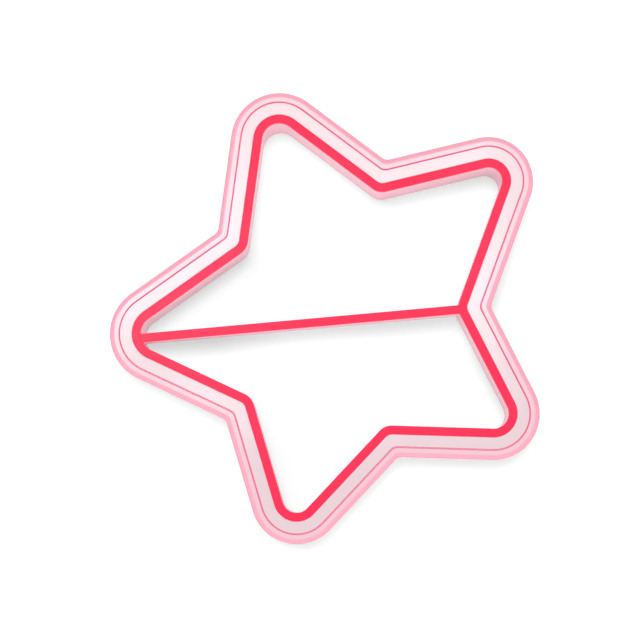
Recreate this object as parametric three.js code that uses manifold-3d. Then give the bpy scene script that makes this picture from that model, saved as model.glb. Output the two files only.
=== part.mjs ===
// A hand-pressed star cutter with a divider, in millimetres, +Z up.
// It stands on its cutting edge at z = 0, with the flange that the palm presses on top.
// The origin is under the middle of its footprint. The divider runs along X, from the tip of
// the arm at -X to the hollow between the two arms at +X.
import * as THREE from "three";
import { ParametricGeometry } from "three/addons/geometries/ParametricGeometry.js";
import { mergeVertices } from "three/addons/utils/BufferGeometryUtils.js";
import Module from "manifold-3d";

// ---------- driving dimensions ----------

const HEIGHT = 20; // cutting edge to press face

// The star is drawn freely, so each arm has its own length and roundness.
// Corners of the wall's centre line before rounding, anticlockwise from the divider's tip.
const CORNERS = [
  { x: -51.4, y: -1.2, tipRadius: 5.4 },
  { x: -20.7, y: -19.1 },
  { x: -14.0, y: -52.1, tipRadius: 4.5 },
  { x: 11.8, y: -29.1 },
  { x: 45.0, y: -33.1, tipRadius: 4.7 },
  { x: 32.4, y: -1.6 },
  { x: 49.1, y: 33.9, tipRadius: 4.3 },
  { x: 15.4, y: 28.9 },
  { x: -10.8, y: 52.6, tipRadius: 5.2 },
  { x: -18.7, y: 17.9 },
];
const DIVIDER_Y = -1.9; // the divider's centre line
const HOLLOW_RADIUS = 3; // rounding between two arms, on the centre line
const LEAST_HOLLOW_RADIUS = 2.2; // the rounding doesn't get tighter than this outwards
const ARC_STEPS = 4; // half the segments of each rounded corner

const BAND_WIDTH = 2.1; // coloured band on top of the wall
const BAND_DEPTH = 1.6; // also the flange's thickness
const TONGUE_WIDTH = 0.7; // key under the band, in the wall's groove
const TONGUE_DEPTH = 1.5;

const EDGE_LAND = 0.5; // flat width of the cutting edge
const EDGE_BEVEL = 1.6; // height of the bevel above it
const BEVEL_WIDTH = 1.1; // the divider's thickness where its bevel starts
const FOOT_REACH = 0.8; // foot of the star wall's inner face, inside the centre line
const SHOULDER_REACH = 1.5; // the wall's shoulder under the flange, from the centre line
const SHOULDER_DROP = 1.0;

const FLANGE_REACH = 4.05; // flange's outer edge, from the centre line
const RIM_REACH = 6.5; // rim's outer edge, from the centre line
const RIM_STEP = 0.4; // the rim lies this much below the press face
const RIM_THICKNESS = 1.2;
const RIM_ROUNDING = 1.2; // outer shoulder of the rim
const SKIRT_THICKNESS = 1.0; // lip that hangs from the rim
const SKIRT_DROP = 2.2; // below the rounding

const WELD_GAP = 0.3; // between the divider's ends and the star
const OVERSHOOT = 10; // how far cutting shapes run past what they cut

// ---------- heights and half widths worked out from them ----------

const SEAT = HEIGHT - BAND_DEPTH; // flange and bands rest here, on top of the walls
const HALF_BAND = BAND_WIDTH / 2;
const HALF_TONGUE = TONGUE_WIDTH / 2;
const GROOVE_FLOOR = SEAT - TONGUE_DEPTH;
const SHOULDER_FOOT = SEAT - SHOULDER_DROP;
const RIM_TOP = HEIGHT - RIM_STEP;
const ROUNDING_CENTRE = { reach: RIM_REACH - RIM_ROUNDING, z: RIM_TOP - RIM_ROUNDING };

// Half the wall's thickness at a height between the bevel and the seat.
const halfWall = (z) =>
  THREE.MathUtils.mapLinear(z, EDGE_BEVEL, SEAT, BEVEL_WIDTH / 2, HALF_BAND);

// ---------- the star's outline ----------

const corners = CORNERS.map(({ x, y }) => new THREE.Vector2(x, y));
const around = (i) => corners[(i + corners.length) % corners.length];

// The star's line moved outwards by reach and rounded, as points.
// Every reach gives the same number of points, so that two outlines can be joined.
function outline(reach) {
  const shape = new THREE.Shape();
  corners.forEach((corner, i) => {
    const before = corner.clone().sub(around(i - 1)).normalize();
    const after = around(i + 1).clone().sub(corner).normalize();
    const normalBefore = new THREE.Vector2(before.y, -before.x);
    const normalAfter = new THREE.Vector2(after.y, -after.x);
    const mitre = normalBefore.clone().add(normalAfter);
    mitre.divideScalar(1 + normalBefore.dot(normalAfter));

    const isTip = before.cross(after) > 0;
    const radius = isTip
      ? CORNERS[i].tipRadius + reach
      : Math.max(HOLLOW_RADIUS - reach, LEAST_HOLLOW_RADIUS);
    const side = isTip ? 1 : -1;
    const centre = corner.clone().addScaledVector(mitre, reach - side * radius);
    const from = normalBefore.multiplyScalar(side).angle();
    const to = normalAfter.multiplyScalar(side).angle();
    shape.absarc(centre.x, centre.y, radius, from, to, !isTip);
  });
  return shape.getPoints(ARC_STEPS);
}

// ---------- solids ----------

const wasm = await Module();
wasm.setup();

// Drops everything but the shared corners, so that the geometry is one closed surface.
function closed(geometry) {
  geometry.deleteAttribute("normal");
  geometry.deleteAttribute("uv");
  return mergeVertices(geometry, 1e-4);
}

function toSolid(geometry) {
  const merged = closed(geometry);
  return new wasm.Manifold(
    new wasm.Mesh({
      numProp: 3,
      vertProperties: merged.attributes.position.array,
      triVerts: new Uint32Array(merged.index.array),
    }),
  );
}

function toGeometry(solid) {
  const { vertProperties, triVerts } = solid.getMesh();
  return new THREE.BufferGeometry()
    .setAttribute("position", new THREE.BufferAttribute(vertProperties, 3))
    .setIndex(new THREE.BufferAttribute(triVerts, 1));
}

// A section of [reach, z] points, anticlockwise, carried once around the star.
function ring(section) {
  const loops = section.map(([reach]) => outline(reach));
  const steps = loops[0].length;
  const place = (u, v, target) => {
    const j = Math.round(v * section.length) % section.length;
    const { x, y } = loops[j][Math.round(u * steps) % steps];
    target.set(x, y, section[j][1]);
  };
  return closed(new ParametricGeometry(place, steps, section.length));
}

// A section of [y, z] points about the divider's centre line, anticlockwise, drawn along X
// over the whole star.
function bar(section) {
  const shape = new THREE.Shape(section.map(([y, z]) => new THREE.Vector2(y, z)));
  const xs = corners.map(({ x }) => x);
  const start = Math.min(...xs);
  const length = Math.max(...xs) - start;
  const geometry = new THREE.ExtrudeGeometry(shape, { depth: length, bevelEnabled: false });
  const axes = new THREE.Matrix4().makeBasis(
    new THREE.Vector3(0, 1, 0),
    new THREE.Vector3(0, 0, 1),
    new THREE.Vector3(1, 0, 0),
  );
  return geometry.applyMatrix4(axes).translate(start, DIVIDER_Y, 0);
}

// The bar's part inside the star, short of a wall with the given inner face.
function barInside(section, innerFace) {
  const outside = [
    [RIM_REACH + OVERSHOOT, -OVERSHOOT],
    [RIM_REACH + OVERSHOOT, HEIGHT + OVERSHOOT],
    ...innerFace,
  ];
  return toGeometry(toSolid(bar(section)).subtract(toSolid(ring(outside))));
}

// ---------- sections ----------

const groove = [
  [HALF_TONGUE, SEAT],
  [HALF_TONGUE, GROOVE_FLOOR],
  [-HALF_TONGUE, GROOVE_FLOOR],
  [-HALF_TONGUE, SEAT],
];

// The star's edge is bevelled on its outer side only, so that what it cuts comes out square.
const starWallSection = [
  [-FOOT_REACH, 0],
  [EDGE_LAND - FOOT_REACH, 0],
  [BEVEL_WIDTH / 2, EDGE_BEVEL],
  [halfWall(SHOULDER_FOOT), SHOULDER_FOOT],
  [SHOULDER_REACH, SEAT],
  ...groove,
  [-HALF_BAND, SEAT],
];

// The divider's edge is bevelled on both sides.
const dividerWallSection = [
  [-BEVEL_WIDTH / 2, EDGE_BEVEL],
  [-EDGE_LAND / 2, 0],
  [EDGE_LAND / 2, 0],
  [BEVEL_WIDTH / 2, EDGE_BEVEL],
  [HALF_BAND, SEAT],
  ...groove,
  [-HALF_BAND, SEAT],
];

const bandSection = [
  [-HALF_BAND, SEAT],
  ...[...groove].reverse(),
  [HALF_BAND, SEAT],
  [HALF_BAND, HEIGHT],
  [-HALF_BAND, HEIGHT],
];

const flangeSection = [
  [HALF_BAND, SEAT],
  [FLANGE_REACH, SEAT],
  [FLANGE_REACH, HEIGHT],
  [HALF_BAND, HEIGHT],
];

const ROUNDING_STEPS = 3;
const rimShoulder = Array.from({ length: ROUNDING_STEPS + 1 }, (_, i) => {
  const angle = (i / ROUNDING_STEPS) * (Math.PI / 2);
  return [
    ROUNDING_CENTRE.reach + RIM_ROUNDING * Math.cos(angle),
    ROUNDING_CENTRE.z + RIM_ROUNDING * Math.sin(angle),
  ];
});
const rimSection = [
  [FLANGE_REACH, RIM_TOP - RIM_THICKNESS],
  [RIM_REACH - SKIRT_THICKNESS, RIM_TOP - RIM_THICKNESS],
  [RIM_REACH - SKIRT_THICKNESS, ROUNDING_CENTRE.z - SKIRT_DROP],
  [RIM_REACH, ROUNDING_CENTRE.z - SKIRT_DROP],
  ...rimShoulder,
  [FLANGE_REACH, RIM_TOP],
];

// ---------- materials ----------

const clearPink = new THREE.MeshStandardMaterial({
  color: 0xf6dde3,
  roughness: 0.15,
  metalness: 0,
});
const hotPink = new THREE.MeshStandardMaterial({
  color: 0xfc4466,
  roughness: 0.3,
  metalness: 0,
});

// ---------- the assembly ----------

const cutter = new THREE.Group();

function addPart(name, geometry, material) {
  geometry.computeVertexNormals();
  const mesh = new THREE.Mesh(geometry, material.clone());
  mesh.name = name;
  cutter.add(mesh);
}

addPart("press_flange", ring(flangeSection), clearPink);
addPart("rolled_rim", ring(rimSection), clearPink);
addPart("star_wall", ring(starWallSection), clearPink);
addPart("star_band", ring(bandSection), hotPink);

const wallFace = [
  [-HALF_BAND - WELD_GAP, HEIGHT + OVERSHOOT],
  [-HALF_BAND - WELD_GAP, SEAT],
  [-FOOT_REACH - WELD_GAP, 0],
  [-FOOT_REACH - WELD_GAP, -OVERSHOOT],
];
addPart("divider_wall", barInside(dividerWallSection, wallFace), clearPink);

const bandFace = [
  [-HALF_BAND - WELD_GAP, HEIGHT + OVERSHOOT],
  [-HALF_BAND - WELD_GAP, -OVERSHOOT],
];
addPart("divider_band", barInside(bandSection, bandFace), hotPink);

export default cutter;
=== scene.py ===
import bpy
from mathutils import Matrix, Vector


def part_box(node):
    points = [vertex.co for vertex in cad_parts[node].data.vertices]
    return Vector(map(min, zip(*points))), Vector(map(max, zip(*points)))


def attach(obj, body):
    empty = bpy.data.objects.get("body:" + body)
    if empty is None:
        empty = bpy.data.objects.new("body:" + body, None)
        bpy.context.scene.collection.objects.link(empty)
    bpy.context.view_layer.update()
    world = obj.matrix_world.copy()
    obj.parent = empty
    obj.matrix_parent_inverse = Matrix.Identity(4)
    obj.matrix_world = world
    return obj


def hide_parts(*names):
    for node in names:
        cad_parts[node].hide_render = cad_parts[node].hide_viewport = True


bl_info = {
    "name": "Star cutter with a divider",
    "version": (1, 0, 0),
    "blender": (4, 5, 0),
    "location": "3D View > Sidebar > Star Cutter",
    "description": "Makes a clear pink hand-pressed star cutter on its packed frame",
    "category": "Add Mesh",
}

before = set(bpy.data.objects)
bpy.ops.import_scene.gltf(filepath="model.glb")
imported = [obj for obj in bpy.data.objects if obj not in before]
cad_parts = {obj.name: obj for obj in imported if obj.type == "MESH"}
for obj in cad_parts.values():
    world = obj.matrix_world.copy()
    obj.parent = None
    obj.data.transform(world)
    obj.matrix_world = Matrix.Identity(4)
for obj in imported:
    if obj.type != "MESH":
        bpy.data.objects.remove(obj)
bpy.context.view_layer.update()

import math

import bpy
from bpy.props import (
    FloatProperty,
    FloatVectorProperty,
    IntProperty,
    PointerProperty,
)
from mathutils import Matrix, Vector

MM = 0.001

# ---------- sizes that the frame gives ----------

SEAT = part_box("press_flange")[0].z
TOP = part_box("press_flange")[1].z
RIM_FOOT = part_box("rolled_rim")[0].z
RIM_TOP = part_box("rolled_rim")[1].z
GROOVE_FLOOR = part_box("star_band")[0].z
HALF_BAND = (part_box("divider_band")[1].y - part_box("divider_band")[0].y) / 2
DIVIDER_Y = (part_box("divider_band")[1].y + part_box("divider_band")[0].y) / 2

# Corners of the star wall's centre line before rounding, anticlockwise from the divider's tip,
# in millimetres: x, y and the tip's radius, which is 0 in a hollow between two arms.
CORNERS = (
    (-51.4, -1.2, 5.4),
    (-20.7, -19.1, 0.0),
    (-14.0, -52.1, 4.5),
    (11.8, -29.1, 0.0),
    (45.0, -33.1, 4.7),
    (32.4, -1.6, 0.0),
    (49.1, 33.9, 4.3),
    (15.4, 28.9, 0.0),
    (-10.8, 52.6, 5.2),
    (-18.7, 17.9, 0.0),
)
DIVIDER_TIP = 0  # the corner that the divider starts at
DIVIDER_HOLLOW = 5  # the corner that it ends at


# ---------- what a user can change ----------


class StarShape(bpy.types.PropertyGroup):
    hollow_radius: FloatProperty(
        name="Hollow radius",
        description="Rounding between two arms, on the wall's centre line",
        default=3.0 * MM,
        unit="LENGTH",
    )
    least_hollow_radius: FloatProperty(
        name="Least hollow radius",
        description="The hollows' rounding doesn't get tighter than this further out",
        default=2.2 * MM,
        unit="LENGTH",
    )
    corner_points: IntProperty(
        name="Points per corner",
        description="Points along each rounded corner",
        default=40,
        min=4,
    )


class SectionSizes(bpy.types.PropertyGroup):
    edge_land: FloatProperty(
        name="Edge land",
        description="Flat width of the cutting edge",
        default=0.5 * MM,
        unit="LENGTH",
    )
    edge_bevel: FloatProperty(
        name="Edge bevel",
        description="Height of the bevel above the cutting edge",
        default=1.6 * MM,
        unit="LENGTH",
    )
    bevel_width: FloatProperty(
        name="Bevel width",
        description="The divider's thickness where its bevel starts",
        default=1.1 * MM,
        unit="LENGTH",
    )
    foot_reach: FloatProperty(
        name="Foot reach",
        description="Foot of the star wall's inner face, inside the wall's centre line",
        default=0.8 * MM,
        unit="LENGTH",
    )
    shoulder_reach: FloatProperty(
        name="Shoulder reach",
        description="How far the wall's shoulder carries the flange",
        default=1.5 * MM,
        unit="LENGTH",
    )
    shoulder_drop: FloatProperty(
        name="Shoulder drop",
        description="Height of the shoulder under the flange",
        default=1.0 * MM,
        unit="LENGTH",
    )
    tongue_width: FloatProperty(
        name="Tongue width",
        description="Width of the key under the band, and of its groove",
        default=0.7 * MM,
        unit="LENGTH",
    )
    flange_reach: FloatProperty(
        name="Flange reach",
        description="From the wall's centre line to the flange's outer edge",
        default=4.05 * MM,
        unit="LENGTH",
    )
    flange_thickness: FloatProperty(
        name="Flange thickness",
        description="Thickness of the flange",
        default=1.6 * MM,
        unit="LENGTH",
    )
    rim_reach: FloatProperty(
        name="Rim reach",
        description="From the wall's centre line to the rim's outer edge",
        default=6.5 * MM,
        unit="LENGTH",
    )
    rim_thickness: FloatProperty(
        name="Rim thickness",
        description="Thickness of the rim's top",
        default=1.2 * MM,
        unit="LENGTH",
    )
    rim_rounding: FloatProperty(
        name="Rim rounding",
        description="Radius of the rim's outer shoulder",
        default=1.2 * MM,
        unit="LENGTH",
    )
    skirt_thickness: FloatProperty(
        name="Skirt thickness",
        description="Thickness of the lip that hangs from the rim",
        default=1.0 * MM,
        unit="LENGTH",
    )
    edge_softness: FloatProperty(
        name="Edge softness",
        description="Radius on the moulding's edges",
        default=0.15 * MM,
        unit="LENGTH",
    )
    seam: FloatProperty(
        name="Seam",
        description="Air between two pieces that meet",
        default=0.04 * MM,
        unit="LENGTH",
    )


class CutterFinish(bpy.types.PropertyGroup):
    tint: FloatVectorProperty(
        name="Tint",
        description="Light that stays after passing through the clear plastic",
        subtype="COLOR",
        size=3,
        min=0.0,
        max=1.0,
        default=(0.98, 0.05, 0.3),
    )
    tint_density: FloatProperty(
        name="Tint density",
        description="How strongly a metre of the clear plastic absorbs",
        default=100.0,
        min=0.0,
    )
    band: FloatVectorProperty(
        name="Band colour",
        description="Colour of the hot pink bands",
        subtype="COLOR",
        size=3,
        min=0.0,
        max=1.0,
        default=(0.98, 0.018, 0.074),
    )


class StudioSetup(bpy.types.PropertyGroup):
    camera_place: FloatVectorProperty(
        name="Camera place",
        description="Where the camera stands",
        subtype="XYZ",
        unit="LENGTH",
        size=3,
        default=(0.0, -38.0 * MM, 608.2 * MM),
    )
    camera_aim: FloatVectorProperty(
        name="Camera aim",
        description="The point on the press face at the middle of the view",
        subtype="XYZ",
        unit="LENGTH",
        size=3,
        default=(-1.75 * MM, -1.43 * MM, TOP),
    )
    camera_turn: FloatProperty(
        name="Camera turn",
        description="How far the view is turned about the upright",
        subtype="ANGLE",
        default=math.radians(5.12),
    )
    lens: FloatProperty(
        name="Lens",
        description="Focal length on a 36 mm sensor, in millimetres",
        default=137.9,
    )
    floor_colour: FloatVectorProperty(
        name="Floor colour",
        description="Colour of the studio floor",
        subtype="COLOR",
        size=3,
        min=0.0,
        max=1.0,
        default=(0.9, 0.9, 0.9),
    )
    floor_glow: FloatProperty(
        name="Floor glow",
        description="Light that comes up through the floor, as on a light table",
        default=0.19,
        min=0.0,
    )


# ---------- node trees ----------


class Wire:
    """A socket in a node tree. Arithmetic on it adds Math or Vector Math nodes. Only a vector on
    the left can be scaled."""

    def __init__(self, graph, socket):
        self.graph = graph
        self.socket = socket

    def _joined(self, operation, first, second):
        sockets = [w.socket for w in (first, second) if isinstance(w, Wire)]
        is_vector = any(socket.type == "VECTOR" for socket in sockets)
        kind = "ShaderNodeVectorMath" if is_vector else "ShaderNodeMath"
        return self.graph.add(kind, {"operation": operation}, {0: first, 1: second})[0]

    def __add__(self, other):
        return self._joined("ADD", self, other)

    def __radd__(self, other):
        return self._joined("ADD", other, self)

    def __sub__(self, other):
        return self._joined("SUBTRACT", self, other)

    def __rsub__(self, other):
        return self._joined("SUBTRACT", other, self)

    def __mul__(self, other):
        if self.socket.type == "VECTOR":
            return self.graph.add(
                "ShaderNodeVectorMath", {"operation": "SCALE"}, {0: self, "Scale": other}
            )[0]
        return self._joined("MULTIPLY", self, other)

    def __truediv__(self, other):
        return self._joined("DIVIDE", self, other)

    def __rtruediv__(self, other):
        return self._joined("DIVIDE", other, self)

    def __mod__(self, other):
        return self._joined("MODULO", self, other)

    def __gt__(self, other):
        return self._joined("GREATER_THAN", self, other)


class Made:
    """A node that has just been made. Its outputs are wires, by name or number."""

    def __init__(self, graph, node):
        self.graph = graph
        self.node = node

    def __getitem__(self, key):
        return Wire(self.graph, self.node.outputs[key])


class Graph:
    """Fills one node tree."""

    def __init__(self, tree):
        self.tree = tree
        tree.nodes.clear()

    def add(self, kind, settings=None, inputs=None):
        """Makes a node: its settings first, then the values or links of its sockets."""
        node = self.tree.nodes.new(kind)
        for name, value in (settings or {}).items():
            if name == "stops":
                self._set_stops(node.color_ramp, value)
            else:
                setattr(node, name, value)
        for key, value in (inputs or {}).items():
            if isinstance(value, Wire):
                self.tree.links.new(value.socket, node.inputs[key])
            else:
                node.inputs[key].default_value = value
        return Made(self, node)

    def _set_stops(self, ramp, stops):
        while len(ramp.elements) < len(stops):
            ramp.elements.new(1.0)
        for element, (place, colour) in zip(ramp.elements, stops):
            element.position = place
            element.color = colour

    def maths(self, operation, *values):
        return self.add("ShaderNodeMath", {"operation": operation}, dict(enumerate(values)))[0]

    def vector_maths(self, operation, *values):
        return self.add("ShaderNodeVectorMath", {"operation": operation}, dict(enumerate(values)))

    def mix_colour(self, factor, first, second, blend="MIX"):
        return self.add(
            "ShaderNodeMix",
            {"data_type": "RGBA", "blend_type": blend},
            {0: factor, 6: first, 7: second},
        )[2]

    def noise(self, place, scale, detail=2.0):
        return self.add(
            "ShaderNodeTexNoise", None, {"Vector": place, "Scale": scale, "Detail": detail}
        )["Fac"]

    def bump(self, height, strength, distance):
        return self.add(
            "ShaderNodeBump", None, {"Height": height, "Strength": strength, "Distance": distance}
        )["Normal"]


# ---------- the ring tree ----------

RING_INPUTS = (
    ("Section", "NodeSocketGeometry"),
    ("Star", "NodeSocketObject"),
    ("Points per corner", "NodeSocketInt"),
    ("Hollow radius", "NodeSocketFloat"),
    ("Least hollow radius", "NodeSocketFloat"),
    ("Finish", "NodeSocketMaterial"),
)


def ring_tree():
    """A tree that carries a section once around the star.

    The section's points hold the reach from the star's line in X and the height in Z.
    """
    tree = bpy.data.node_groups.new("Ring around the star", "GeometryNodeTree")
    graph = Graph(tree)
    for name, kind in RING_INPUTS:
        tree.interface.new_socket(name=name, in_out="INPUT", socket_type=kind)
    tree.interface.new_socket(name="Ring", in_out="OUTPUT", socket_type="NodeSocketGeometry")
    given = graph.add("NodeGroupInput")
    section = given["Section"]
    per_corner = given["Points per corner"]

    star = graph.add("GeometryNodeObjectInfo", None, {"Object": given["Star"]})["Geometry"]
    position = graph.add("GeometryNodeInputPosition")["Position"]
    tip_field = graph.add(
        "GeometryNodeInputNamedAttribute", {"data_type": "FLOAT"}, {"Name": "tip_radius"}
    )["Attribute"]

    def count(geometry):
        return graph.add("GeometryNodeAttributeDomainSize", None, {"Geometry": geometry})[
            "Point Count"
        ]

    def sample(geometry, field, kind, index):
        return graph.add(
            "GeometryNodeSampleIndex",
            {"data_type": kind},
            {"Geometry": geometry, "Value": field, "Index": index},
        )[0]

    def circle(points):
        return graph.add("GeometryNodeCurvePrimitiveCircle", None, {"Resolution": points})["Curve"]

    corners = count(star)
    across = count(section)
    tube = graph.add(
        "GeometryNodeCurveToMesh",
        None,
        {"Curve": circle(corners * per_corner), "Profile Curve": circle(across)},
    )["Mesh"]

    index = graph.add("GeometryNodeInputIndex")["Index"]
    step = graph.maths("FLOOR", index / across)
    corner = graph.maths("FLOOR", step / per_corner)
    along = (step % per_corner) / (per_corner - 1)
    section_point = sample(section, position, "FLOAT_VECTOR", index % across)
    parts = graph.add("ShaderNodeSeparateXYZ", None, {0: section_point})
    reach, height = parts["X"], parts["Z"]

    here = sample(star, position, "FLOAT_VECTOR", corner)
    before = sample(star, position, "FLOAT_VECTOR", (corner + corners - 1) % corners)
    after = sample(star, position, "FLOAT_VECTOR", (corner + 1) % corners)
    tip_radius = sample(star, tip_field, "FLOAT", corner)

    upright = Vector((0, 0, 1))
    side_in = graph.vector_maths("NORMALIZE", here - before)[0]
    side_out = graph.vector_maths("NORMALIZE", after - here)[0]
    normal_in = graph.vector_maths("CROSS_PRODUCT", side_in, upright)[0]
    normal_out = graph.vector_maths("CROSS_PRODUCT", side_out, upright)[0]
    facing = graph.vector_maths("DOT_PRODUCT", normal_in, normal_out)["Value"]
    mitre = (normal_in + normal_out) * (1 / (facing + 1))

    crossing = graph.vector_maths("CROSS_PRODUCT", side_in, side_out)[0]
    crossing = graph.add("ShaderNodeSeparateXYZ", None, {0: crossing})["Z"]
    turn = graph.maths("ARCTAN2", crossing, facing)
    side = graph.maths("SIGN", turn)
    is_tip = turn > 0
    hollow = graph.maths("MAXIMUM", given["Hollow radius"] - reach, given["Least hollow radius"])
    radius = is_tip * (tip_radius + reach) + (1 - is_tip) * hollow

    centre = here + mitre * (reach - side * radius)
    spoke = graph.add(
        "ShaderNodeVectorRotate",
        {"rotation_type": "Z_AXIS"},
        {"Vector": normal_in * side, "Angle": turn * along},
    )[0]
    lift = graph.add("ShaderNodeCombineXYZ", None, {"Z": height})[0]
    ring = graph.add(
        "GeometryNodeSetPosition",
        None,
        {"Geometry": tube, "Position": centre + spoke * radius + lift},
    )["Geometry"]
    ring = graph.add("GeometryNodeFlipFaces", None, {"Mesh": ring})[0]
    ring = graph.add(
        "GeometryNodeStoreNamedAttribute",
        {"data_type": "FLOAT", "domain": "POINT"},
        {"Geometry": ring, "Name": "reach", "Value": reach},
    )[0]
    ring = graph.add("GeometryNodeRealizeInstances", None, {"Geometry": ring})[0]
    ring = graph.add(
        "GeometryNodeSetMaterial", None, {"Geometry": ring, "Material": given["Finish"]}
    )[0]
    graph.add("NodeGroupOutput", None, {0: ring})
    return tree


# ---------- sections ----------

ARC_STEPS = 5  # faces along each rounding of a section
SUPPORT = 0.03 * MM  # a loop this close to a rounding keeps the flat beside it flat
SHOULDER_ROUNDING = 0.3 * MM  # where the wall's outer face meets its shoulder
LIP_CORNER_ROUNDING = 0.4 * MM  # inside the rim, where its top meets the hanging lip
SHARP_ANGLE = math.radians(50)


def rounded(points):
    """A closed section with its corners rounded. Each point is (reach, height, radius)."""
    outline = []
    for i, (x, z, radius) in enumerate(points):
        here = Vector((x, z))
        if not radius:
            outline.append(here)
            continue
        back = (Vector(points[i - 1][:2]) - here).normalized()
        on = (Vector(points[(i + 1) % len(points)][:2]) - here).normalized()
        half = back.angle(on) / 2
        run = radius / math.tan(half)
        centre = here + (back + on).normalized() * (radius / math.sin(half))
        start, end = here + back * run, here + on * run
        first, last = start - centre, end - centre
        outline.append(start + back * SUPPORT)
        for k in range(ARC_STEPS + 1):
            outline.append(centre + first.slerp(last, k / ARC_STEPS) * radius)
        outline.append(end + on * SUPPORT)
    return outline


def groove(sizes):
    """The groove in a wall's top, from its outer side to its inner side."""
    half = sizes.tongue_width / 2
    return [
        (half, SEAT, 0.0),
        (half, GROOVE_FLOOR, 0.0),
        (-half, GROOVE_FLOOR, 0.0),
        (-half, SEAT, 0.0),
    ]


def tongue(sizes):
    """The key under a band, from its inner side to its outer side, clear of the groove."""
    half = sizes.tongue_width / 2 - sizes.seam
    foot = GROOVE_FLOOR + sizes.seam
    return [(-half, SEAT, 0.0), (-half, foot, 0.0), (half, foot, 0.0), (half, SEAT, 0.0)]


def star_wall_section(sizes):
    """The star's edge is bevelled on its outer side only."""
    soft = sizes.edge_softness
    shoulder_foot = SEAT - sizes.shoulder_drop
    up = (shoulder_foot - sizes.edge_bevel) / (SEAT - sizes.edge_bevel)
    outer = sizes.bevel_width / 2 * (1 - up) + HALF_BAND * up
    return rounded(
        [
            (-sizes.foot_reach, 0.0, soft / 2),
            (sizes.edge_land - sizes.foot_reach, 0.0, soft / 2),
            (sizes.bevel_width / 2, sizes.edge_bevel, soft),
            (outer, shoulder_foot, SHOULDER_ROUNDING),
            (sizes.shoulder_reach, SEAT - sizes.seam, soft),
            *groove(sizes),
            (-HALF_BAND, SEAT, 0.0),
        ]
    )


def divider_wall_section(sizes):
    """The divider's edge is bevelled on both sides."""
    soft = sizes.edge_softness
    return rounded(
        [
            (-sizes.bevel_width / 2, sizes.edge_bevel, soft),
            (-sizes.edge_land / 2, 0.0, soft / 2),
            (sizes.edge_land / 2, 0.0, soft / 2),
            (sizes.bevel_width / 2, sizes.edge_bevel, soft),
            (HALF_BAND, SEAT, 0.0),
            *groove(sizes),
            (-HALF_BAND, SEAT, 0.0),
        ]
    )


def band_section(sizes):
    soft = sizes.edge_softness
    seat = SEAT + sizes.seam
    return rounded(
        [
            (-HALF_BAND, seat, 0.0),
            *tongue(sizes),
            (HALF_BAND, seat, 0.0),
            (HALF_BAND, TOP, soft),
            (-HALF_BAND, TOP, soft),
        ]
    )


def flange_section(sizes):
    soft = sizes.edge_softness
    inner = HALF_BAND + sizes.seam
    under = TOP - sizes.flange_thickness
    return rounded(
        [
            (inner, under, soft),
            (sizes.flange_reach, under, soft),
            (sizes.flange_reach, TOP, soft),
            (inner, TOP, soft),
        ]
    )


def rim_section(sizes):
    soft = sizes.edge_softness
    under = RIM_TOP - sizes.rim_thickness
    skirt_face = sizes.rim_reach - sizes.skirt_thickness
    inner = sizes.flange_reach + sizes.seam
    return rounded(
        [
            (inner, under, soft),
            (skirt_face, under, LIP_CORNER_ROUNDING),
            (skirt_face, RIM_FOOT, soft),
            (sizes.rim_reach, RIM_FOOT, soft),
            (sizes.rim_reach, RIM_TOP, sizes.rim_rounding),
            (inner, RIM_TOP, soft),
        ]
    )


# ---------- pieces ----------


def new_object(name, data):
    """An object in the scene, made from a mesh, a light or a camera."""
    made = bpy.data.objects.new(name, data)
    bpy.context.scene.collection.objects.link(made)
    return made


def star_corners():
    """An object whose points are the star's corners, for the ring tree to read."""
    mesh = bpy.data.meshes.new("star_corners")
    mesh.from_pydata([(x * MM, y * MM, 0) for x, y, _ in CORNERS], [], [])
    radii = mesh.attributes.new("tip_radius", "FLOAT", "POINT")
    radii.data.foreach_set("value", [radius * MM for _, _, radius in CORNERS])
    return new_object("star_corners", mesh)


def set_inputs(modifier, values):
    """Sets a Geometry Nodes modifier's inputs by their names in the tree."""
    for item in modifier.node_group.interface.items_tree:
        if item.item_type == "SOCKET" and item.in_out == "INPUT" and item.name in values:
            modifier[item.identifier] = values[item.name]


def made_plain(maker, name):
    """The evaluated result of maker as a plain object at the origin. maker is removed."""
    depsgraph = bpy.context.evaluated_depsgraph_get()
    mesh = bpy.data.meshes.new_from_object(maker.evaluated_get(depsgraph), depsgraph=depsgraph)
    bpy.data.objects.remove(maker)
    mesh.name = name
    mesh.shade_smooth()
    return new_object(name, mesh)


def sharpen(piece):
    """Marks the edges that flat faces meet in, so that the shading doesn't bend there."""
    piece.data.set_sharp_from_angle(angle=SHARP_ANGLE)


def make_ring(name, section, finish):
    """A section carried around the star, as a plain mesh."""
    shape = bpy.context.scene.star_shape
    mesh = bpy.data.meshes.new(name + "_section")
    mesh.from_pydata([(reach, 0, height) for reach, height in section], [], [])
    maker = new_object(name + "_maker", mesh)
    star = star_corners()
    modifier = maker.modifiers.new("Ring", "NODES")
    modifier.node_group = ring_tree()
    set_inputs(
        modifier,
        {
            "Star": star,
            "Points per corner": shape.corner_points,
            "Hollow radius": shape.hollow_radius,
            "Least hollow radius": shape.least_hollow_radius,
            "Finish": finish,
        },
    )
    ring = made_plain(maker, name)
    sharpen(ring)
    bpy.data.objects.remove(star)
    return ring


def corner_centre(index, hollow_radius):
    """The middle of a corner's rounding, which is the same at every reach near the wall."""
    before, here, after = (Vector(CORNERS[(index + k) % len(CORNERS)][:2]) * MM for k in (-1, 0, 1))
    side_in, side_out = (here - before).normalized(), (after - here).normalized()
    normal_in = Vector((side_in.y, -side_in.x))
    normal_out = Vector((side_out.y, -side_out.x))
    mitre = (normal_in + normal_out) / (1 + normal_in.dot(normal_out))
    tip_radius = CORNERS[index][2] * MM
    return here - mitre * tip_radius if tip_radius else here + mitre * hollow_radius


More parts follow.
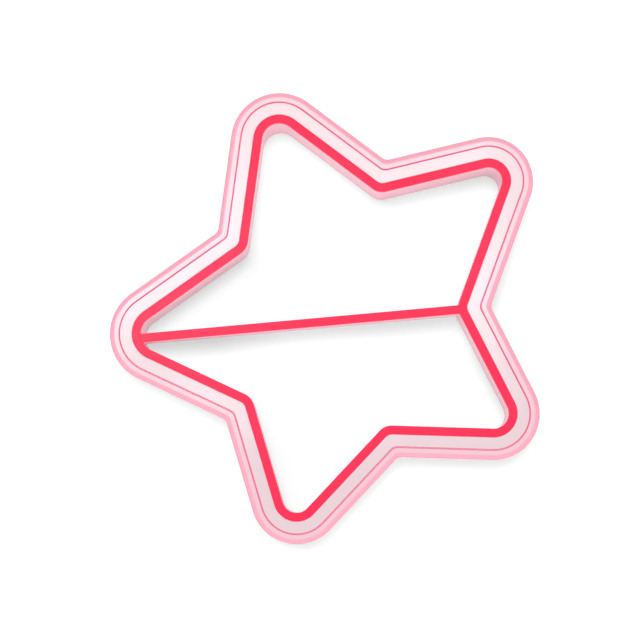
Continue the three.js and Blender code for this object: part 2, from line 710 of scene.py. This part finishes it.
def make_bar(name, section, inner_face, clearance, finish):
    """A section drawn along X from the star's tip to its hollow. inner_face gives how far the
    star's inner face is from its centre line at a height, so that the ends follow it."""
    shape = bpy.context.scene.star_shape
    tip = corner_centre(DIVIDER_TIP, shape.hollow_radius)
    hollow = corner_centre(DIVIDER_HOLLOW, shape.hollow_radius)
    starts, ends = [], []
    for across, height in section:
        y = DIVIDER_Y + across
        inner = inner_face(height) + clearance
        tip_radius = CORNERS[DIVIDER_TIP][2] * MM - inner
        hollow_radius = shape.hollow_radius + inner
        start = tip.x - math.sqrt(tip_radius**2 - (y - tip.y) ** 2)
        end = hollow.x - math.sqrt(hollow_radius**2 - (y - hollow.y) ** 2)
        starts.append(Vector((start, y, height)))
        ends.append(Vector((end, y, height)))
    n = len(section)
    along = Vector((SUPPORT, 0, 0))
    rows = [starts, [p + along for p in starts], [p - along for p in ends], ends]
    last = (len(rows) - 1) * n
    faces = []
    for near in range(0, last, n):
        far = near + n
        faces += [(near + i, near + (i + 1) % n, far + (i + 1) % n, far + i) for i in range(n)]
    caps = [tuple(reversed(range(n))), tuple(range(last, last + n))]
    mesh = bpy.data.meshes.new(name)
    mesh.from_pydata([p for row in rows for p in row], [], faces + caps)
    mesh.materials.append(finish)
    mesh.shade_smooth()
    piece = new_object(name, mesh)
    sharpen(piece)
    return piece


def stand_for(piece, node):
    """Shows the piece in place of a node of the frame."""
    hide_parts(node)
    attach(piece, "root")
    piece.visible_diffuse = False  # no pink cast on the floor


# ---------- materials ----------

HOT = "hot_pink_moulding"
# Colours painted by reach from the wall's line. The seam, the rim's rounded shoulder and its outer
# edge get a painted glow: deep pink standing in for light carried through the plastic.
COLLAR_COLOURS_AND_EDGE_GLOW = (
    (0.85, 0.68, 0.72),  # the flange
    (0.95, 0.12, 0.28),  # the seam between it and the rim, painted deep pink as a glow of light carried through the flange
    (0.91, 0.61, 0.68),  # the flat of the rim
    (1.0, 0.44, 0.56),  # its rounded shoulder, painted deeper pink as a glow of light grazing through the lip
    (1.0, 0.31, 0.44),  # its outer edge, painted deepest pink as a glow of light carried through the lip
)
WALL_COLOURS_AND_FOOT_GLOW = ((1.0, 0.32, 0.46), (1.0, 0.16, 0.3))  # the faces, and the cutting edge, whose deeper pink is a painted glow of light carried down the wall
WHITE = (1.0, 1.0, 1.0)
CLOUD_TONE = (0.97, 0.955, 0.96)  # dims the clear plastic's colour where its clouds are thin

# How much of the clear plastic refracts. The rest is milky.
FLANGE_CLEARNESS = 0.2
RIM_CLEARNESS = 0.15
WALL_CLEARNESS = 0.3

PLASTIC_IOR = 1.49
COLLAR_ROUGHNESS = 0.05
WALL_ROUGHNESS = 0.2
MIST_ROUGHNESS = 0.06  # what the mist adds at most
RIPPLE_STRENGTH = 0.25
RIPPLE_HEIGHT = 0.1 * MM
BAND_ROUGHNESS = 0.18
BAND_MIST_ROUGHNESS = 0.1
BAND_SHINE = 0.3
PAPER_ROUGHNESS = 0.9

# The lightest and darkest tones of the band and of the paper, as parts of their colours.
BAND_LIGHTEST = 1.12
BAND_BLOOM = Vector((0.0, 0.015, 0.02))  # added to the lightest tone, which makes it milkier
BAND_DARKEST = 0.93
PAPER_DARKEST = 0.99

# Noise scales, in cells per metre.
CLOUDS = 45.0
RIPPLES = 120.0
MIST = 600.0
BAND_CLOUDS = 60.0
BAND_MIST = 400.0
PAPER_GRAIN = 900.0


def opaque(colour):
    """A colour with its alpha, as a socket takes it."""
    return (*colour, 1.0)


def new_material(name):
    material = bpy.data.materials.new(name)
    material.use_nodes = True
    return material, Graph(material.node_tree)


def clear_plastic(name, stations, measure, clearness, roughness):
    """Clear tinted plastic. stations are pairs of a distance and the colour painted there, where
    deeper pink is a painted glow standing in for light carried through the plastic. measure makes
    the wire that the distance is read from."""
    if name in bpy.data.materials:
        return bpy.data.materials[name]
    finish = bpy.context.scene.cutter_finish
    material, graph = new_material(name)
    place = graph.add("ShaderNodeTexCoord")["Object"]
    span = stations[-1][0]
    stops = [(distance / span, opaque(colour)) for distance, colour in stations]
    # painted glow: the colour by distance stands in for light carried through the plastic
    painted_glow_colour = graph.add("ShaderNodeValToRGB", {"stops": stops}, {"Fac": measure(graph) / span})[0]
    cloud = graph.noise(place, CLOUDS, 3.0)
    tone = graph.mix_colour(cloud, opaque(CLOUD_TONE), opaque(WHITE))
    colour = graph.mix_colour(1.0, painted_glow_colour, tone, "MULTIPLY")
    ripple = graph.noise(place, RIPPLES)
    mist = graph.noise(place, MIST, 3.0)
    plastic = graph.add(
        "ShaderNodeBsdfPrincipled",
        None,
        {
            "Base Color": colour,
            "Roughness": roughness + mist * MIST_ROUGHNESS,
            "IOR": PLASTIC_IOR,
            "Transmission Weight": clearness,
            "Normal": graph.bump(ripple, RIPPLE_STRENGTH, RIPPLE_HEIGHT),
        },
    )[0]
    volume = graph.add(
        "ShaderNodeVolumeAbsorption",
        None,
        {"Color": opaque(finish.tint), "Density": finish.tint_density},
    )[0]
    graph.add("ShaderNodeOutputMaterial", None, {"Surface": plastic, "Volume": volume})
    return material


def collar_plastic(name, clearness):
    """The flange and the rim: palest in the flange, deepest at the seam and the outer edge, where
    deep pink is painted as a glow of light carried through the plastic.
    """
    pale, seam, rim, roll, edge = COLLAR_COLOURS_AND_EDGE_GLOW
    stations = [
        (3.80 * MM, pale),
        (3.95 * MM, seam),
        (4.18 * MM, seam),
        (4.40 * MM, rim),
        (5.10 * MM, rim),
        (5.55 * MM, roll),
        (6.05 * MM, roll),
        (6.40 * MM, edge),
    ]

    def reach(graph):
        return graph.add("ShaderNodeAttribute", {"attribute_name": "reach"})["Fac"]

    return clear_plastic(name, stations, reach, clearness, COLLAR_ROUGHNESS)


def wall_plastic():
    """The walls, deepest at the cutting edge, where deeper pink is painted as a glow of light
    carried down the wall.
    """
    face, edge = WALL_COLOURS_AND_FOOT_GLOW
    stations = [(0.0, edge), (0.5 * MM, edge), (1.4 * MM, face), (SEAT, face)]

    def height(graph):
        place = graph.add("ShaderNodeTexCoord")["Object"]
        return graph.add("ShaderNodeSeparateXYZ", None, {0: place})["Z"]

    return clear_plastic("clear_pink_wall", stations, height, WALL_CLEARNESS, WALL_ROUGHNESS)


def hot_pink():
    """Coloured plastic band, with a little unevenness in its colour and gloss."""
    if HOT in bpy.data.materials:
        return bpy.data.materials[HOT]
    finish = bpy.context.scene.cutter_finish
    material, graph = new_material(HOT)
    place = graph.add("ShaderNodeTexCoord")["Object"]
    cloud = graph.noise(place, BAND_CLOUDS)
    colour = Vector(finish.band)
    light = opaque(colour * BAND_LIGHTEST + BAND_BLOOM)
    dark = opaque(colour * BAND_DARKEST)
    plastic = graph.add(
        "ShaderNodeBsdfPrincipled",
        None,
        {
            "Base Color": graph.mix_colour(cloud, dark, light),
            "Roughness": BAND_ROUGHNESS + graph.noise(place, BAND_MIST) * BAND_MIST_ROUGHNESS,
            "IOR": PLASTIC_IOR,
            "Specular IOR Level": BAND_SHINE,
        },
    )[0]
    graph.add("ShaderNodeOutputMaterial", None, {"Surface": plastic})
    return material


def studio_floor():
    """Pale paper that lets a little light up through it."""
    material, graph = new_material("studio_floor")
    place = graph.add("ShaderNodeTexCoord")["Object"]
    colour = Vector(bpy.context.scene.studio_setup.floor_colour)
    grain = graph.noise(place, PAPER_GRAIN)
    paper = graph.mix_colour(grain, opaque(colour * PAPER_DARKEST), opaque(colour))
    board = graph.add(
        "ShaderNodeBsdfPrincipled",
        None,
        {
            "Base Color": paper,
            "Roughness": PAPER_ROUGHNESS,
            "Emission Color": opaque(WHITE),
            "Emission Strength": bpy.context.scene.studio_setup.floor_glow,
        },
    )[0]
    graph.add("ShaderNodeOutputMaterial", None, {"Surface": board})
    return material


# ---------- studio ----------

FLOOR_REACH = 1.2  # from the middle of the floor to its sides
SKY_STOPS = ((0.1, WHITE), (0.7, (0.5, 0.5, 0.5)))  # by the rise of the direction, from 0 to 1
SKY_STRENGTH = 0.85
NEAREST_SEEN = 0.01
SENSOR_WIDTH = 36.0

# Each light's place, width, length and power, and whether a glossy face mirrors it. All of them
# point at the cutter.
LIGHTS = {
    "overhead_softbox": ((0.0, 0.15, 1.48), 0.3, 0.3, 8.2, False),
    "side_strip": ((-0.4, 0.2, 1.15), 0.12, 0.6, 1.2, True),
    "front_fill": ((0.0, -1.1, 0.9), 1.0, 0.6, 6.5, False),
    "east_card": ((0.11, 0.11, 1.02), 0.1, 0.12, 0.09, True),
    "west_card": ((-0.09, 0.12, 1.02), 0.12, 0.1, 0.09, True),
}


def make_floor():
    reach = FLOOR_REACH
    mesh = bpy.data.meshes.new("floor")
    mesh.from_pydata(
        [(-reach, -reach, 0), (reach, -reach, 0), (reach, reach, 0), (-reach, reach, 0)],
        [],
        [(0, 1, 2, 3)],
    )
    mesh.materials.append(studio_floor())
    new_object("floor", mesh)


def make_light(name, place, width, length, power, mirrored):
    light = bpy.data.lights.new(name, "AREA")
    light.shape = "RECTANGLE"
    light.size = width
    light.size_y = length
    light.energy = power
    lamp = new_object(name, light)
    lamp.location = place
    lamp.rotation_euler = (-Vector(place)).to_track_quat("-Z", "Y").to_euler()
    lamp.visible_glossy = mirrored


def make_sky(scene):
    """Soft light from all round, brightest at the horizon and below it."""
    world = bpy.data.worlds.new("studio")
    world.use_nodes = True
    graph = Graph(world.node_tree)
    towards = graph.add("ShaderNodeTexCoord")["Generated"]
    rise = graph.add("ShaderNodeSeparateXYZ", None, {0: towards})["Z"]
    stops = [(place, opaque(colour)) for place, colour in SKY_STOPS]
    sky = graph.add("ShaderNodeValToRGB", {"stops": stops}, {"Fac": rise})["Color"]
    light = graph.add("ShaderNodeBackground", None, {"Color": sky, "Strength": SKY_STRENGTH})[0]
    graph.add("ShaderNodeOutputWorld", None, {"Surface": light})
    scene.world = world


def make_camera(scene):
    setup = scene.studio_setup
    place, aim = Vector(setup.camera_place), Vector(setup.camera_aim)
    ahead = (aim - place).normalized()
    top = Vector((math.sin(setup.camera_turn), math.cos(setup.camera_turn), 0))
    right = ahead.cross(top).normalized()
    up = right.cross(ahead)
    lens = bpy.data.cameras.new("camera")
    lens.lens = setup.lens
    lens.sensor_width = SENSOR_WIDTH
    lens.clip_start = NEAREST_SEEN
    camera = new_object("camera", lens)
    turned = Matrix((right, up, -ahead)).transposed().to_4x4()
    camera.matrix_world = Matrix.Translation(place) @ turned
    scene.camera = camera


# ---------- operators ----------


class CUTTER_OT_press_flange(bpy.types.Operator):
    """Make the flat clear collar that the palm presses"""

    bl_idname = "cutter.press_flange"
    bl_label = "Press Flange"

    def execute(self, context):
        section = flange_section(context.scene.section_sizes)
        finish = collar_plastic("clear_pink_flange", FLANGE_CLEARNESS)
        piece = make_ring("flange_collar", section, finish)
        stand_for(piece, "press_flange")
        return {"FINISHED"}


class CUTTER_OT_rolled_rim(bpy.types.Operator):
    """Make the rounded rim and its hanging lip"""

    bl_idname = "cutter.rolled_rim"
    bl_label = "Rolled Rim"

    def execute(self, context):
        section = rim_section(context.scene.section_sizes)
        finish = collar_plastic("clear_pink_rim", RIM_CLEARNESS)
        piece = make_ring("rim_roll", section, finish)
        stand_for(piece, "rolled_rim")
        return {"FINISHED"}


class CUTTER_OT_walls(bpy.types.Operator):
    """Make the star's cutting wall and the divider's"""

    bl_idname = "cutter.walls"
    bl_label = "Cutting Walls"

    def execute(self, context):
        sizes = context.scene.section_sizes
        wall = make_ring("cutting_wall", star_wall_section(sizes), wall_plastic())
        stand_for(wall, "star_wall")

        def inner_face(height):
            up = height / SEAT
            return sizes.foot_reach * (1 - up) + HALF_BAND * up

        section = divider_wall_section(sizes)
        divider = make_bar("cutting_divider", section, inner_face, sizes.seam, wall_plastic())
        stand_for(divider, "divider_wall")
        return {"FINISHED"}


class CUTTER_OT_bands(bpy.types.Operator):
    """Make the hot pink bands on top of the walls"""

    bl_idname = "cutter.bands"
    bl_label = "Bands"

    def execute(self, context):
        sizes = context.scene.section_sizes
        section = band_section(sizes)
        band = make_ring("top_band", section, hot_pink())
        stand_for(band, "star_band")
        weld = sizes.edge_softness  # how far the divider's band runs into the star's
        divider = make_bar("divider_top", section, lambda z: HALF_BAND, -weld, hot_pink())
        stand_for(divider, "divider_band")
        return {"FINISHED"}


class CUTTER_OT_stage(bpy.types.Operator):
    """Make the floor, the soft lights and the camera"""

    bl_idname = "cutter.stage"
    bl_label = "Studio"

    def execute(self, context):
        scene = context.scene
        make_floor()
        for name, setting in LIGHTS.items():
            make_light(name, *setting)
        make_sky(scene)
        make_camera(scene)
        scene.view_settings.view_transform = "Standard"
        scene.cycles.sample_clamp_indirect = 0.0
        return {"FINISHED"}


class CUTTER_PT_pieces(bpy.types.Panel):
    bl_idname = "CUTTER_PT_pieces"
    bl_label = "Star Cutter"
    bl_space_type = "VIEW_3D"
    bl_region_type = "UI"
    bl_category = "Star Cutter"

    def draw(self, context):
        for operator in OPERATORS:
            self.layout.operator(operator.bl_idname)
        for name, group in GROUPS.items():
            box = self.layout.box()
            for prop in group.__annotations__:
                box.prop(getattr(context.scene, name), prop)


GROUPS = {
    "star_shape": StarShape,
    "section_sizes": SectionSizes,
    "cutter_finish": CutterFinish,
    "studio_setup": StudioSetup,
}
OPERATORS = (
    CUTTER_OT_press_flange,
    CUTTER_OT_rolled_rim,
    CUTTER_OT_walls,
    CUTTER_OT_bands,
    CUTTER_OT_stage,
)
CLASSES = (*GROUPS.values(), *OPERATORS, CUTTER_PT_pieces)


def register():
    for cls in CLASSES:
        bpy.utils.register_class(cls)
    for name, group in GROUPS.items():
        setattr(bpy.types.Scene, name, PointerProperty(type=group))


def unregister():
    for name in GROUPS:
        delattr(bpy.types.Scene, name)
    for cls in reversed(CLASSES):
        bpy.utils.unregister_class(cls)


def main():
    register()
    bpy.ops.cutter.press_flange()
    bpy.ops.cutter.rolled_rim()
    bpy.ops.cutter.walls()
    bpy.ops.cutter.bands()
    bpy.ops.cutter.stage()


if __name__ == "__main__":
    main()
